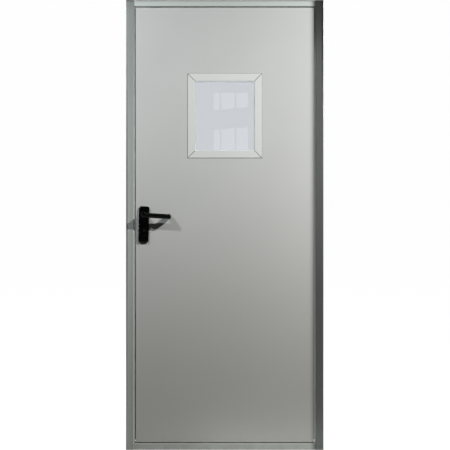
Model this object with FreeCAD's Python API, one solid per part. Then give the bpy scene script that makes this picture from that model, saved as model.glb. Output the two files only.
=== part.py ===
import FreeCAD, Part
import os
from math import sqrt

os.makedirs("parts", exist_ok=True)

# Insulated steel utility door with a window, in its own frame.
# X runs to the right seen from the push side, Y away from that viewer, Z up.
# The origin is the middle of the sill's underside. Lengths are in millimetres.
# Depths are measured from the push face of the frame, towards the pull side.

# Door frame
frame_width = 900.0
frame_height = 2050.0
frame_depth = 52.0
frame_sheet = 2.0
jamb_face = 36.3
rail_face = 30.0
frame_return = 12.0
frame_bend = 4.0
lip_rise = 0.4
lip_crest = 5.0
lip_slope = 6.0

# Leaf
side_gap = 7.7
rail_gap = 5.5
leaf_depth = 60.0
leaf_sheet = 1.5
sheet_round = 1.0
lip_overlap = 18.0
hem_flange = 20.0
bottom_channel_height = 25.0
mid_sheet = 0.6
core_gap = 0.2
bottom_seal_height = 6.0
bottom_seal_drop = 0.5

# Seals on the frame
gasket_width = 5.0
gasket_gap = 0.3
gasket_inset = 0.3
groove_seal_depth = 4.2
groove_seal_width = 10.0
groove_seal_gap = 2.6
groove_seal_joint = 0.2

# Window
glass_visible_width = 270.0
glass_visible_height = 316.0
window_drop = 492.0
bead_width = 34.0
bead_proud = 2.5
bead_chamfer = 1.0
bead_leg = 6.0
bead_joint = 2.0
glass_thickness = 22.0
glass_recess = 11.0
glass_edge_gap = 2.0
glass_gasket = 3.0
liner_sheet = 1.5
liner_reveal = 10.0

# Lock
backset = 39.0
lever_height = 1074.0
cylinder_drop = 72.0
faceplate_height = 235.0
faceplate_width = 24.0
faceplate_thickness = 3.0
lock_case_height = 165.0
lock_case_width = 55.0
lock_case_thickness = 16.0
lock_case_rise = 50.0
latch_height = 18.0
latch_thickness = 12.0
latch_length = 30.0
deadbolt_height = 34.0
deadbolt_thickness = 10.0
deadbolt_length = 45.0
deadbolt_drop = 4.0
bolt_clearance = 0.3
bolt_wall = 2.0
strike_margin = 4.0
strike_box_depth = 22.0
strike_box_sheet = 1.5

# Handle set
plate_width = 47.0
plate_height = 166.0
plate_rise = 36.0
plate_thickness = 10.5
plate_bevel_width = 6.0
plate_bevel_depth = 2.0
plate_corner = 7.0
plate_tilt = 1.65
lever_reach = 125.5
lever_diameter = 22.2
lever_offset = 49.5
lever_drop = 4.3
lever_droop = 3.5
lever_tip_gap = 12.5
lever_end = 9.0
leg_diameter = 22.6
leg_tip_diameter = 25.2
leg_tip_round = 2.0
neck_diameter = 21.2
neck_round = 4.5
neck_running_gap = 0.3
spindle_side = 9.0
spindle_end = 40.0
spindle_hole = 22.0
follower_diameter = 20.0
follower_running_gap = 0.1
cylinder_diameter = 17.0
cylinder_body = 10.0
cylinder_height = 33.0
cylinder_proud = 2.5
cylinder_fit = 0.4
cylinder_hole_gap = 1.0
key_slot_height = 8.0
key_slot_width = 1.6
key_slot_depth = 6.0

# Hinges
hinge_diameter = 21.0
hinge_height = 150.0
hinge_knuckle_ratio = 2.2
hinge_top_gap = 4.0
hinge_washer = 1.0
hinge_washer_inset = 1.0
hinge_pin_diameter = 12.0
hinge_running_gap = 0.05
hinge_axis_inset = 11.0
hinge_axis_proud = 6.0
hinge_foot = 14.0
hinge_from_bottom = 194.5
hinge_from_top = 214.5

# Wall anchors
anchor_thickness = 3.0
anchor_height = 60.0
anchor_hole = 10.5
anchor_access = 16.0
anchor_cap = 1.5
anchor_from_end = 300.0

# How far off a point may lie and still count as on a face
tolerance = 1e-3

# Places that follow from the sizes above
push_y = -frame_depth / 2
half_frame = frame_width / 2
half_opening = half_frame - jamb_face
half_leaf = half_opening - side_gap
half_lip = half_leaf + lip_overlap
opening_top = frame_height - rail_face
leaf_bottom = rail_face + rail_gap
leaf_top = opening_top - rail_gap
lip_top = leaf_top + lip_overlap
lip_back = leaf_depth - 2 * leaf_sheet
window_height = leaf_top - window_drop
lever_x = -half_leaf + backset
cylinder_z = lever_height - cylinder_drop
lock_case_top = lever_height + lock_case_rise
lock_case_bottom = lock_case_top - lock_case_height
lock_centre_z = (lock_case_top + lock_case_bottom) / 2
lock_depth = leaf_depth / 2
lock_back = -half_leaf + faceplate_thickness
cut_width = glass_visible_width + 2 * liner_reveal
cut_height = glass_visible_height + 2 * liner_reveal
glass_front = glass_recess
glass_back = glass_front + glass_thickness
channel_top = leaf_bottom + bottom_channel_height
core_middle = (leaf_depth - mid_sheet) / 2
anchor_heights = (anchor_from_end, frame_height / 2, frame_height - anchor_from_end)
hinge_x = half_frame - hinge_axis_inset
hinge_depth = leaf_depth + hinge_axis_proud
plain_knuckle = (hinge_height - hinge_top_gap - hinge_washer) / (2 + hinge_knuckle_ratio)
leaf_knuckle = plain_knuckle * hinge_knuckle_ratio


def save(node, shape):
    """Write one finished piece."""
    shape.exportStep("parts/" + node + ".step")


def y_at(depth):
    return push_y + depth


def slab(x0, x1, depth0, depth1, z0, z1):
    """A block between two depths measured from the push face."""
    corner = FreeCAD.Vector(min(x0, x1), y_at(depth0), z0)
    return Part.makeBox(abs(x1 - x0), depth1 - depth0, z1 - z0, corner)


def rod_y(x, z, diameter, depth0, depth1):
    """A round bar through the door's depth."""
    start = FreeCAD.Vector(x, y_at(depth0), z)
    return Part.makeCylinder(diameter / 2, depth1 - depth0, start, FreeCAD.Vector(0, 1, 0))


def rod_z(x, depth, diameter, z0, z1):
    start = FreeCAD.Vector(x, y_at(depth), z0)
    return Part.makeCylinder(diameter / 2, z1 - z0, start, FreeCAD.Vector(0, 0, 1))


def rod_x(x0, x1, depth, z, diameter):
    start = FreeCAD.Vector(min(x0, x1), y_at(depth), z)
    return Part.makeCylinder(diameter / 2, abs(x1 - x0), start, FreeCAD.Vector(1, 0, 0))


def rounded_face(corners):
    """A flat face inside corners given as (point, radius), each rounded by its radius."""
    edges = []
    last = None
    count = len(corners)
    for i, (point, radius) in enumerate(corners):
        before = (corners[i - 1][0] - point).normalize()
        after = (corners[(i + 1) % count][0] - point).normalize()
        start, end = point + before * radius, point + after * radius
        if last is None:
            first = start
        else:
            edges.append(Part.makeLine(last, start))
        if radius > 0:
            middle = point + (before + after).normalize() * radius * (sqrt(2) - 1)
            edges.append(Part.Arc(start, middle, end).toShape())
        last = end
    edges.append(Part.makeLine(last, first))
    return Part.Face(Part.Wire(edges))


def join(shapes):
    """Fuse touching blocks into one clean solid."""
    first, rest = shapes[0], shapes[1:]
    return first.fuse(rest).removeSplitter() if rest else first


def round_edges(shape, radius, chosen):
    """Round the edges whose two ends both pass a test."""
    edges = [e for e in shape.Edges if all(chosen(v.Point) for v in e.Vertexes)]
    return shape.makeFillet(radius, edges)


# Jambs and head: one folded channel section, open to the wall
def channel_section(face, place):
    """The section from its wall edge round the folds; place turns (width, depth) into a point."""
    t = frame_sheet
    inner_bend = frame_bend - t
    crest = face - lip_crest
    section = [
        (0, frame_return, 0),
        (0, 0, frame_bend),
        (crest - lip_slope, 0, 0),
        (crest, -lip_rise, 0),
        (face, -lip_rise, frame_bend),
        (face, frame_depth, frame_bend),
        (0, frame_depth, frame_bend),
        (0, frame_depth - frame_return, 0),
        (t, frame_depth - frame_return, 0),
        (t, frame_depth - t, inner_bend),
        (face - t, frame_depth - t, inner_bend),
        (face - t, t, inner_bend),
        (t, t, inner_bend),
        (t, frame_return, 0),
    ]
    return rounded_face([(place(width, depth), radius) for width, depth, radius in section])


def jamb(side):
    def place(width, depth):
        return FreeCAD.Vector(side * (half_frame - width), y_at(depth), 0)

    return channel_section(jamb_face, place).extrude(FreeCAD.Vector(0, 0, frame_height))


def access_holes(side):
    """Round holes in the jamb's web, through which the anchor bolts are driven."""
    web_out = side * (half_opening + frame_sheet)
    web_in = side * half_opening
    return [rod_x(web_out, web_in, frame_depth / 2, z, anchor_access) for z in anchor_heights]


def bolt_block(place, grow, x0, x1):
    """A block round the latch or the deadbolt, grown on all four sides."""
    z, height, thick = place
    half_z, half_d = height / 2 + grow, thick / 2 + grow
    return slab(x0, x1, lock_depth - half_d, lock_depth + half_d, z - half_z, z + half_z)


latch_place = (lever_height, latch_height, latch_thickness)
deadbolt_place = (cylinder_z - deadbolt_drop, deadbolt_height, deadbolt_thickness)
bolt_places = (latch_place, deadbolt_place)

web_back = -half_opening - frame_sheet
pockets = [bolt_block(place, strike_margin, -half_opening, web_back) for place in bolt_places]
save("jamb_lock_side", jamb(-1).cut(access_holes(-1) + pockets))
save("jamb_hinge_side", jamb(1).cut(access_holes(1)))

# Strike boxes: closed pressings welded behind the bolt pockets
strike_back = web_back - strike_box_depth
strike_boxes = []
for place in bolt_places:
    outer = bolt_block(place, strike_margin + strike_box_sheet, web_back, strike_back)
    inner = bolt_block(place, strike_margin, web_back, strike_back + strike_box_sheet)
    strike_boxes.append(outer.cut(inner))
save("strike_boxes", Part.makeCompound(strike_boxes))


# Head and sill: rails between the jambs, the sill a closed box
def rail(section):
    return section.extrude(FreeCAD.Vector(2 * half_opening, 0, 0))


def head_place(width, depth):
    return FreeCAD.Vector(-half_opening, y_at(depth), frame_height - width)


def sill_section(inset, bend):
    corners = [
        (inset, inset),
        (rail_face - inset, inset),
        (rail_face - inset, frame_depth - inset),
        (inset, frame_depth - inset),
    ]
    points = [FreeCAD.Vector(-half_opening, y_at(depth), z) for z, depth in corners]
    return rounded_face([(point, bend) for point in points])


save("frame_head", rail(channel_section(rail_face, head_place)))
sill_hollow = rail(sill_section(frame_sheet, frame_bend - frame_sheet))
save("frame_sill", rail(sill_section(0, frame_bend)).cut(sill_hollow))


# Wall anchors: straps across each jamb's open back, with a hole for the bolt
def anchor_strap(side, z):
    wall = side * half_frame
    inner = side * (half_frame - anchor_thickness)
    z0, z1 = z - anchor_height / 2, z + anchor_height / 2
    strap = slab(wall, inner, frame_return, frame_depth - frame_return, z0, z1)
    return strap.cut(rod_x(wall, inner, frame_depth / 2, z, anchor_hole))


def anchor_plug(side, z):
    """A cap that closes one access hole flush with the web."""
    face = side * half_opening
    back = side * (half_opening + anchor_cap)
    return rod_x(face, back, frame_depth / 2, z, anchor_access)


anchor_places = [(side, z) for side in (-1, 1) for z in anchor_heights]
save("wall_anchors", Part.makeCompound([anchor_strap(side, z) for side, z in anchor_places]))
save("anchor_caps", Part.makeCompound([anchor_plug(side, z) for side, z in anchor_places]))

# Lip gaskets: rubber strips between the frame's pull face and the leaf's lip
gasket_depth = lip_back - gasket_gap
gasket_x = half_opening + frame_bend + gasket_inset
gasket_z = opening_top + frame_bend + gasket_inset
gasket_out = gasket_x + gasket_width
lip_gaskets = []
for side in (-1, 1):
    x0, x1 = side * gasket_x, side * gasket_out
    lip_gaskets.append(slab(x0, x1, frame_depth, gasket_depth, leaf_bottom, gasket_z - groove_seal_joint))
lip_gaskets.append(
    slab(-gasket_out, gasket_out, frame_depth, gasket_depth, gasket_z, gasket_z + gasket_width)
)
save("lip_gaskets", Part.makeCompound(lip_gaskets))

# Groove seals: grey strips glued to the frame inside the groove round the leaf
seal_depth0 = groove_seal_depth
seal_depth1 = groove_seal_depth + groove_seal_width
seal_x = half_leaf + groove_seal_gap
seal_bottom_z = leaf_bottom - groove_seal_gap
seal_top_z = leaf_top + groove_seal_gap
groove_seals = []
for side in (-1, 1):
    x0, x1 = side * half_opening, side * seal_x
    groove_seals.append(slab(x0, x1, seal_depth0, seal_depth1, rail_face, opening_top))
for z0, z1 in ((rail_face, seal_bottom_z), (seal_top_z, opening_top)):
    x1 = seal_x - groove_seal_joint
    groove_seals.append(slab(-x1, x1, seal_depth0, seal_depth1, z0, z1))
save("groove_seals", Part.makeCompound(groove_seals))


# Leaf: cut-outs that run through every layer
def window_block(grow, depth0, depth1):
    half_w = cut_width / 2 + grow
    half_h = cut_height / 2 + grow
    return slab(-half_w, half_w, depth0, depth1, window_height - half_h, window_height + half_h)


def cylinder_profile(grow, depth0, depth1):
    """The keyhole outline of a profile cylinder: a round barrel over a flat body."""
    barrel = rod_y(lever_x, cylinder_z, cylinder_diameter + 2 * grow, depth0, depth1)
    width = cylinder_body + 2 * grow
    tip_z = cylinder_z + cylinder_diameter / 2 - cylinder_height + cylinder_body / 2
    body = slab(lever_x - width / 2, lever_x + width / 2, depth0, depth1, tip_z, cylinder_z)
    tip = rod_y(lever_x, tip_z, width, depth0, depth1)
    return join([barrel, body, tip])


def handle_holes(depth0, depth1):
    """Clear holes for the spindle and the cylinder."""
    spindle = rod_y(lever_x, lever_height, spindle_hole, depth0, depth1)
    return [spindle, cylinder_profile(cylinder_hole_gap, depth0, depth1)]


def lock_block(grow, x1):
    z0, z1 = lock_case_bottom - grow, lock_case_top + grow
    half = lock_case_thickness / 2 + grow
    return slab(-half_leaf, x1, lock_depth - half, lock_depth + half, z0, z1)


def faceplate_block(grow, x0, x1):
    half_z = faceplate_height / 2 + grow
    half_d = faceplate_width / 2 + grow
    z0, z1 = lock_centre_z - half_z, lock_centre_z + half_z
    return slab(x0, x1, lock_depth - half_d, lock_depth + half_d, z0, z1)


# Push sheet: the flat face towards the viewer
push_sheet = slab(-half_leaf, half_leaf, 0, leaf_sheet, leaf_bottom, leaf_top)
push_cuts = [window_block(0, 0, leaf_sheet)] + handle_holes(0, leaf_sheet)
push_sheet = round_edges(push_sheet, sheet_round, lambda p: p.y < y_at(leaf_sheet / 2))
save("leaf_push_sheet", push_sheet.cut(push_cuts))

# Pull sheet: a tray folded round the sides and top, with a hemmed lip outside them
def on_lip_edge(point):
    return abs(point.x) > half_lip - tolerance or point.z > lip_top - tolerance


inner_face = leaf_depth - leaf_sheet
tray = [slab(-half_lip, half_lip, inner_face, leaf_depth, leaf_bottom, lip_top)]
for side in (-1, 1):
    edge = side * half_leaf
    wall = edge - side * leaf_sheet
    tray.append(slab(wall, side * half_lip, lip_back, inner_face, leaf_bottom, lip_top))
    tray.append(slab(wall, edge, leaf_sheet, lip_back, leaf_bottom, leaf_top))
    turned = edge - side * hem_flange
    tray.append(slab(wall, turned, leaf_sheet, 2 * leaf_sheet, channel_top, leaf_top))
tray.append(slab(-half_leaf, half_leaf, lip_back, inner_face, leaf_top - leaf_sheet, lip_top))
tray.append(slab(-half_leaf, half_leaf, leaf_sheet, lip_back, leaf_top - leaf_sheet, leaf_top))
tray.append(slab(-half_leaf, half_leaf, leaf_sheet, 2 * leaf_sheet, leaf_top - hem_flange, leaf_top))
pull_sheet = round_edges(join(tray), sheet_round, on_lip_edge)
pull_cuts = [window_block(0, leaf_sheet, leaf_depth)] + handle_holes(lip_back, leaf_depth)
pull_cuts.append(faceplate_block(0, -half_leaf, -half_leaf + hem_flange))
save("leaf_pull_sheet", pull_sheet.cut(pull_cuts))

# Bottom channel: closes the leaf's lower edge, open downwards
channel_x = half_leaf - leaf_sheet
channel_front = leaf_sheet
channel_back = leaf_depth - leaf_sheet
channel_outer = slab(-channel_x, channel_x, channel_front, channel_back, leaf_bottom, channel_top)
channel_hollow = slab(
    -channel_x,
    channel_x,
    channel_front + leaf_sheet,
    channel_back - leaf_sheet,
    leaf_bottom,
    channel_top - leaf_sheet,
)
save("leaf_bottom_channel", channel_outer.cut(channel_hollow))

# Bottom seal: a rubber strip clipped into the channel's mouth
seal_bottom = leaf_bottom - bottom_seal_drop
bottom_seal = slab(
    -channel_x,
    channel_x,
    channel_front + leaf_sheet,
    channel_back - leaf_sheet,
    seal_bottom,
    seal_bottom + bottom_seal_height,
)
save("bottom_seal", bottom_seal)

# Insulation: two layers of wool with a thin sheet between them
core_x = half_leaf - leaf_sheet - core_gap
core_z0 = channel_top + core_gap
core_z1 = leaf_top - leaf_sheet - core_gap
core_cuts = [
    window_block(core_gap, 0, leaf_depth),
    lock_block(core_gap, -half_leaf + faceplate_thickness + lock_case_width + core_gap),
    faceplate_block(core_gap, -half_leaf, -half_leaf + faceplate_thickness + core_gap),
] + handle_holes(0, leaf_depth)
core_layers = (
    ("core_push_batt", 2 * leaf_sheet + core_gap, core_middle),
    ("core_mid_sheet", core_middle, core_middle + mid_sheet),
    ("core_pull_batt", core_middle + mid_sheet, lip_back - core_gap),
)
for name, depth0, depth1 in core_layers:
    layer = slab(-core_x, core_x, depth0, depth1, core_z0, core_z1)
    save(name, layer.cut(core_cuts))


# Window: a liner through the leaf, the pane, two gaskets and mitred beads
liner = window_block(0, leaf_sheet, leaf_depth - leaf_sheet)
liner_hole = window_block(-liner_sheet, leaf_sheet, leaf_depth - leaf_sheet)
save("window_liner", liner.cut(liner_hole))

pane_inset = -liner_sheet - glass_edge_gap
save("glass_pane", window_block(pane_inset, glass_front, glass_back))


def window_frame(width, depth0, depth1):
    """A flat ring round the visible glass."""
    inner = window_block(-liner_reveal, depth0, depth1)
    return window_block(-liner_reveal + width, depth0, depth1).cut(inner)


save("glazing_gasket_push", window_frame(bead_leg, glass_front - glass_gasket, glass_front))
save("glazing_gasket_pull", window_frame(bead_leg, glass_back, glass_back + glass_gasket))

bead_feet = {
    "push": glass_front - glass_gasket,
    "pull": leaf_depth - glass_back - glass_gasket,
}


def bead(direction, face_side):
    """One mitred bead. The section runs outward from the visible glass."""
    half_w, half_h = glass_visible_width / 2, glass_visible_height / 2
    across = direction in ("left", "right")
    half_edge, half_run = (half_w, half_h) if across else (half_h, half_w)
    sign = 1 if direction in ("right", "top") else -1
    foot = bead_feet[face_side]
    bead_section = (
        (0, bead_chamfer - bead_proud),
        (bead_chamfer, -bead_proud),
        (bead_width - bead_chamfer, -bead_proud),
        (bead_width, bead_chamfer - bead_proud),
        (bead_width, 0),
        (bead_leg, 0),
        (bead_leg, foot),
        (0, foot),
    )

    def place(out, run, depth):
        real = depth if face_side == "push" else leaf_depth - depth
        edge = sign * (half_edge + out)
        if across:
            return FreeCAD.Vector(edge, y_at(real), window_height + run)
        return FreeCAD.Vector(run, y_at(real), window_height + edge)

    ends = []
    for end in (-1, 1):
        mitre = half_run - bead_joint / 2
        points = [place(out, end * (mitre + out), depth) for out, depth in bead_section]
        ends.append(Part.makePolygon(points + [points[0]]))
    return Part.makeLoft(ends, True, True)


for face_side in ("push", "pull"):
    for direction in ("top", "bottom", "left", "right"):
        save("glazing_bead_" + face_side + "_" + direction, bead(direction, face_side))

# Lock: case, faceplate, and both bolts drawn back flush with the faceplate
case_end = lock_back + lock_case_width
half_case = lock_case_thickness / 2
lock_case = slab(
    lock_back, case_end, lock_depth - half_case, lock_depth + half_case, lock_case_bottom, lock_case_top
)
case_cuts = [
    rod_y(lever_x, lever_height, follower_diameter + 2 * follower_running_gap, 0, leaf_depth),
    cylinder_profile(cylinder_fit, 0, leaf_depth),
]

latch_end = min(-half_leaf + latch_length, lever_x - follower_diameter / 2 - bolt_wall)
deadbolt_end = min(-half_leaf + deadbolt_length, lever_x - cylinder_diameter / 2 - bolt_wall)
bolt_cuts = [
    bolt_block(latch_place, bolt_clearance, -half_leaf, latch_end),
    bolt_block(deadbolt_place, bolt_clearance, -half_leaf, deadbolt_end),
]
save("lock_case", lock_case.cut(case_cuts + bolt_cuts))
save("lock_faceplate", faceplate_block(0, -half_leaf, lock_back).cut(bolt_cuts))
save("latch_nose", bolt_block(latch_place, 0, -half_leaf, latch_end))
save("deadbolt", bolt_block(deadbolt_place, 0, -half_leaf, deadbolt_end))

# Profile cylinder, through the leaf and a little proud of both plates
cylinder_reach = plate_thickness + cylinder_proud
cylinder = cylinder_profile(0, -cylinder_reach, leaf_depth + cylinder_reach)
for mouth in (-cylinder_reach, leaf_depth + cylinder_reach - key_slot_depth):
    slot = slab(
        lever_x - key_slot_width / 2,
        lever_x + key_slot_width / 2,
        mouth,
        mouth + key_slot_depth,
        cylinder_z - key_slot_height / 2,
        cylinder_z + key_slot_height / 2,
    )
    cylinder = cylinder.cut(slot)
save("profile_cylinder", cylinder)


# Handle plates: bevelled covers, set a little askew on both faces
def mirror_to_pull(shape):
    """The same piece on the pull side, mirrored through the leaf's middle."""
    return shape.mirror(FreeCAD.Vector(0, y_at(leaf_depth / 2), 0), FreeCAD.Vector(0, 1, 0))


def plate_outline(inset, depth):
    """The plate's outline with cut corners, shrunk by an inset."""
    x1 = plate_width / 2 - inset
    z1 = lever_height + plate_rise - inset
    z0 = lever_height + plate_rise - plate_height + inset
    c = plate_corner * (1 - inset / plate_width)
    corners = [
        (-x1 + c, z0),
        (x1 - c, z0),
        (x1, z0 + c),
        (x1, z1 - c),
        (x1 - c, z1),
        (-x1 + c, z1),
        (-x1, z1 - c),
        (-x1, z0 + c),
    ]
    points = [FreeCAD.Vector(lever_x + x, y_at(depth), z) for x, z in corners]
    return Part.makePolygon(points + [points[0]])


def handle_plate():
    rim = plate_bevel_depth - plate_thickness
    skirt = Part.Face(plate_outline(0, 0)).extrude(FreeCAD.Vector(0, rim, 0))
    top_outline = plate_outline(plate_bevel_width, -plate_thickness)
    top = Part.makeLoft([plate_outline(0, rim), top_outline], True, True)
    body = join([skirt, top])
    lever_centre = FreeCAD.Vector(lever_x, 0, lever_height)
    body.rotate(lever_centre, FreeCAD.Vector(0, 1, 0), plate_tilt)
    hole_diameter = neck_diameter + 2 * neck_running_gap
    neck_hole = rod_y(lever_x, lever_height, hole_diameter, -plate_thickness, 0)
    return body.cut([neck_hole, cylinder_profile(cylinder_fit, -plate_thickness, 0)])


push_plate = handle_plate()
save("push_handle_plate", push_plate)
save("pull_handle_plate", mirror_to_pull(push_plate))


# Levers: a neck, a round bar a little below its middle, and a return leg that widens towards the leaf
def lever():
    """The bar is drawn level and then turned down by its droop."""
    axis = FreeCAD.Vector(0, 1, 0)
    bar_y = y_at(-lever_offset)
    neck_front = -lever_offset - neck_diameter / 2
    neck = rod_y(lever_x, lever_height, neck_diameter, neck_front, -neck_running_gap)
    neck = round_edges(neck, neck_round, lambda p: p.y < bar_y)
    leg_x = lever_x + lever_reach - leg_tip_diameter / 2
    bar_z = lever_height - lever_drop
    bar = rod_x(lever_x - lever_end, leg_x, -lever_offset, bar_z, lever_diameter)
    bar = round_edges(bar, lever_end, lambda p: p.x < lever_x)
    leg_front = -lever_offset - leg_diameter / 2
    leg_corner = FreeCAD.Vector(leg_x, y_at(leg_front), bar_z)
    leg_length = -lever_tip_gap - leg_front
    leg = Part.makeCone(leg_diameter / 2, leg_tip_diameter / 2, leg_length, leg_corner, axis)
    leg = round_edges(leg, lever_end, lambda p: p.y < bar_y)
    leg = round_edges(leg, leg_tip_round, lambda p: p.y > y_at(-lever_tip_gap) - tolerance)
    shape = join([bar, neck, leg])
    shape.rotate(FreeCAD.Vector(lever_x, 0, lever_height), axis, lever_droop)
    return shape


def spindle_bar(grow, depth0, depth1):
    """The square bar between the levers, turned with them."""
    half = spindle_side / 2 + grow
    bar = slab(
        lever_x - half, lever_x + half, depth0, depth1, lever_height - half, lever_height + half
    )
    bar.rotate(FreeCAD.Vector(lever_x, 0, lever_height), FreeCAD.Vector(0, 1, 0), lever_droop)
    return bar


socket = spindle_bar(0, -spindle_end, 0)
push_lever = lever().cut(socket)
save("push_lever", push_lever)
save("pull_lever", mirror_to_pull(push_lever))
save("spindle", spindle_bar(0, -spindle_end, leaf_depth + spindle_end))

# Follower: the round hub in the lock case that the spindle turns
follower = rod_y(lever_x, lever_height, follower_diameter, lock_depth - half_case, lock_depth + half_case)
save("lock_follower", follower.cut(spindle_bar(0, 0, leaf_depth)))

# Hinges: two knuckles and a pin on the frame, the long knuckle on the leaf
pins = []
washers = []
hinge_centres = {"lower": leaf_bottom + hinge_from_bottom, "upper": leaf_top - hinge_from_top}
for place, centre_z in hinge_centres.items():
    base = centre_z - hinge_height / 2
    lower_top = base + plain_knuckle
    leaf_z0 = lower_top + hinge_washer
    leaf_z1 = leaf_z0 + leaf_knuckle
    upper_z0 = leaf_z1 + hinge_top_gap
    upper_z1 = upper_z0 + plain_knuckle
    knuckles = []
    for z0, z1 in ((base, lower_top), (upper_z0, upper_z1)):
        barrel = rod_z(hinge_x, hinge_depth, hinge_diameter, z0, z1)
        foot_x0, foot_x1 = hinge_x - hinge_foot / 2, hinge_x + hinge_foot / 2
        foot = slab(foot_x0, foot_x1, frame_depth, hinge_depth, z0, z1)
        bore = rod_z(hinge_x, hinge_depth, hinge_pin_diameter, z0, z1)
        knuckles.append(join([barrel, foot]).cut(bore))
    save(place + "_hinge_frame", Part.makeCompound(knuckles))
    pins.append(rod_z(hinge_x, hinge_depth, hinge_pin_diameter, base, upper_z1))
    bore_diameter = hinge_pin_diameter + 2 * hinge_running_gap
    bore = rod_z(hinge_x, hinge_depth, bore_diameter, leaf_z0, leaf_z1)
    barrel = rod_z(hinge_x, hinge_depth, hinge_diameter, leaf_z0, leaf_z1)
    tab = slab(half_lip, hinge_x, lip_back, leaf_depth, leaf_z0, leaf_z1)
    save(place + "_hinge_leaf", join([barrel, tab]).cut(bore))
    washer_diameter = hinge_diameter - 2 * hinge_washer_inset
    washer = rod_z(hinge_x, hinge_depth, washer_diameter, lower_top, leaf_z0 - hinge_running_gap)
    washers.append(washer.cut(bore).cut(pins[-1]))
save("hinge_pins", Part.makeCompound(pins))
save("hinge_washers", Part.makeCompound(washers))
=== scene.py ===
import bmesh
import bpy
import math
from mathutils import Matrix, Vector


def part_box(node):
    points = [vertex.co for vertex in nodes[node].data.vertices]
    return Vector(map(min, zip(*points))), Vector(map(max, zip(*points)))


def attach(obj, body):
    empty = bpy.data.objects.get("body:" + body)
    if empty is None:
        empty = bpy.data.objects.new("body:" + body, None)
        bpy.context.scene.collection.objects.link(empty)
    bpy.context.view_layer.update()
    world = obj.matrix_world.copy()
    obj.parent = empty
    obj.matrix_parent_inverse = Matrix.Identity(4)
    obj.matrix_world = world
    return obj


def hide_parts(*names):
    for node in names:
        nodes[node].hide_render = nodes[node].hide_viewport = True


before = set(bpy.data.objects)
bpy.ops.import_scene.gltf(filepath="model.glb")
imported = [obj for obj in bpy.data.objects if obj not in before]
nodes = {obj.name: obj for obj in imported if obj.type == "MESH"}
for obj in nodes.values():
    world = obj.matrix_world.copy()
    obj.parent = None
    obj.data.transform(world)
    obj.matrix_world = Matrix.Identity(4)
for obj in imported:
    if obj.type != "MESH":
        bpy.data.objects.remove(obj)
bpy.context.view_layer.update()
MM = 0.001

# Camera: looks level and straight at the push face from the middle of the door.
# The door's full height fills the picture from its upper to its lower edge.
door_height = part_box("jamb_lock_side")[1].z
push_face_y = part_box("leaf_push_sheet")[0].y
camera_distance = 4.5
camera_x = 1.0 * MM
sensor_width = 36.0

camera_data = bpy.data.cameras.new("front_camera")
camera_data.sensor_width = sensor_width
camera_data.lens = sensor_width * camera_distance / door_height
camera = bpy.data.objects.new("front_camera", camera_data)
camera.location = (camera_x, push_face_y - camera_distance, door_height / 2)
camera.rotation_euler = (math.radians(90), 0, 0)
bpy.context.scene.collection.objects.link(camera)
bpy.context.scene.camera = camera
bpy.context.scene.view_settings.view_transform = "Standard"


# Frame: two jambs, a head and a sill of folded steel sheet, butted at the corners and welded,
# then sprayed light grey. The paint has a fine orange-peel skin and catches dust near the floor.
def colour(red, green, blue):
    """A colour read on a 0 to 255 scale, as the linear values that a shader takes."""
    values = []
    for channel in (red, green, blue):
        share = channel / 255
        values.append(share / 12.92 if share <= 0.04045 else ((share + 0.055) / 1.055) ** 2.4)
    return (*values, 1)


def new_group(name, inputs, outputs):
    """An empty shader group: inputs are (label, kind, start value), outputs (label, kind)."""
    group = bpy.data.node_groups.new(name, "ShaderNodeTree")
    for label, kind, start in inputs:
        socket = group.interface.new_socket(name=label, in_out="INPUT", socket_type=kind)
        socket.default_value = start
    for label, kind in outputs:
        group.interface.new_socket(name=label, in_out="OUTPUT", socket_type=kind)
    return group, group.nodes.new("NodeGroupInput"), group.nodes.new("NodeGroupOutput")


def add_node(tree, kind, settings=None, **sockets):
    """A node with its settings and the start values of its sockets, given by name."""
    node = tree.nodes.new(kind)
    for key, value in (settings or {}).items():
        setattr(node, key, value)
    for key, value in sockets.items():
        node.inputs[key.replace("_", " ")].default_value = value
    return node


def noise(tree, place, scale, detail=2.0):
    node = add_node(tree, "ShaderNodeTexNoise", Scale=scale, Detail=detail)
    tree.links.new(place, node.inputs["Vector"])
    return node.outputs["Fac"]


def spread(tree, source, low, high, to_low, to_high, smooth=False):
    """Moves a value from one range to another."""
    node = add_node(tree, "ShaderNodeMapRange")
    node.interpolation_type = "SMOOTHSTEP" if smooth else "LINEAR"
    tree.links.new(source, node.inputs["Value"])
    for key, value in (("From Min", low), ("From Max", high), ("To Min", to_low), ("To Max", to_high)):
        if hasattr(value, "is_output"):
            tree.links.new(value, node.inputs[key])
        else:
            node.inputs[key].default_value = value
    return node.outputs["Result"]


def maths(tree, operation, first, second=0.0):
    node = add_node(tree, "ShaderNodeMath", {"operation": operation})
    for socket, value in zip(node.inputs, (first, second)):
        if hasattr(value, "is_output"):
            tree.links.new(value, socket)
        else:
            socket.default_value = value
    return node.outputs["Value"]


def blend_colours(tree, factor, first, second, mode="MIX"):
    """Mixes two colours; each is a socket or a plain colour."""
    node = add_node(tree, "ShaderNodeMix", {"data_type": "RGBA", "blend_type": mode})
    sockets = (node.inputs["Factor"], node.inputs[6], node.inputs[7])
    for socket, value in zip(sockets, (factor, first, second)):
        if hasattr(value, "is_output"):
            tree.links.new(value, socket)
        else:
            socket.default_value = value
    return node.outputs[2]


def scale_colour(tree, paint, share):
    """A colour made lighter or darker by a share."""
    node = add_node(tree, "ShaderNodeVectorMath", {"operation": "SCALE"})
    tree.links.new(paint, node.inputs[0])
    tree.links.new(share, node.inputs["Scale"])
    return node.outputs["Vector"]


skin_outputs = (
    ("Colour", "NodeSocketColor"),
    ("Roughness", "NodeSocketFloat"),
    ("Height", "NodeSocketFloat"),
)


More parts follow.
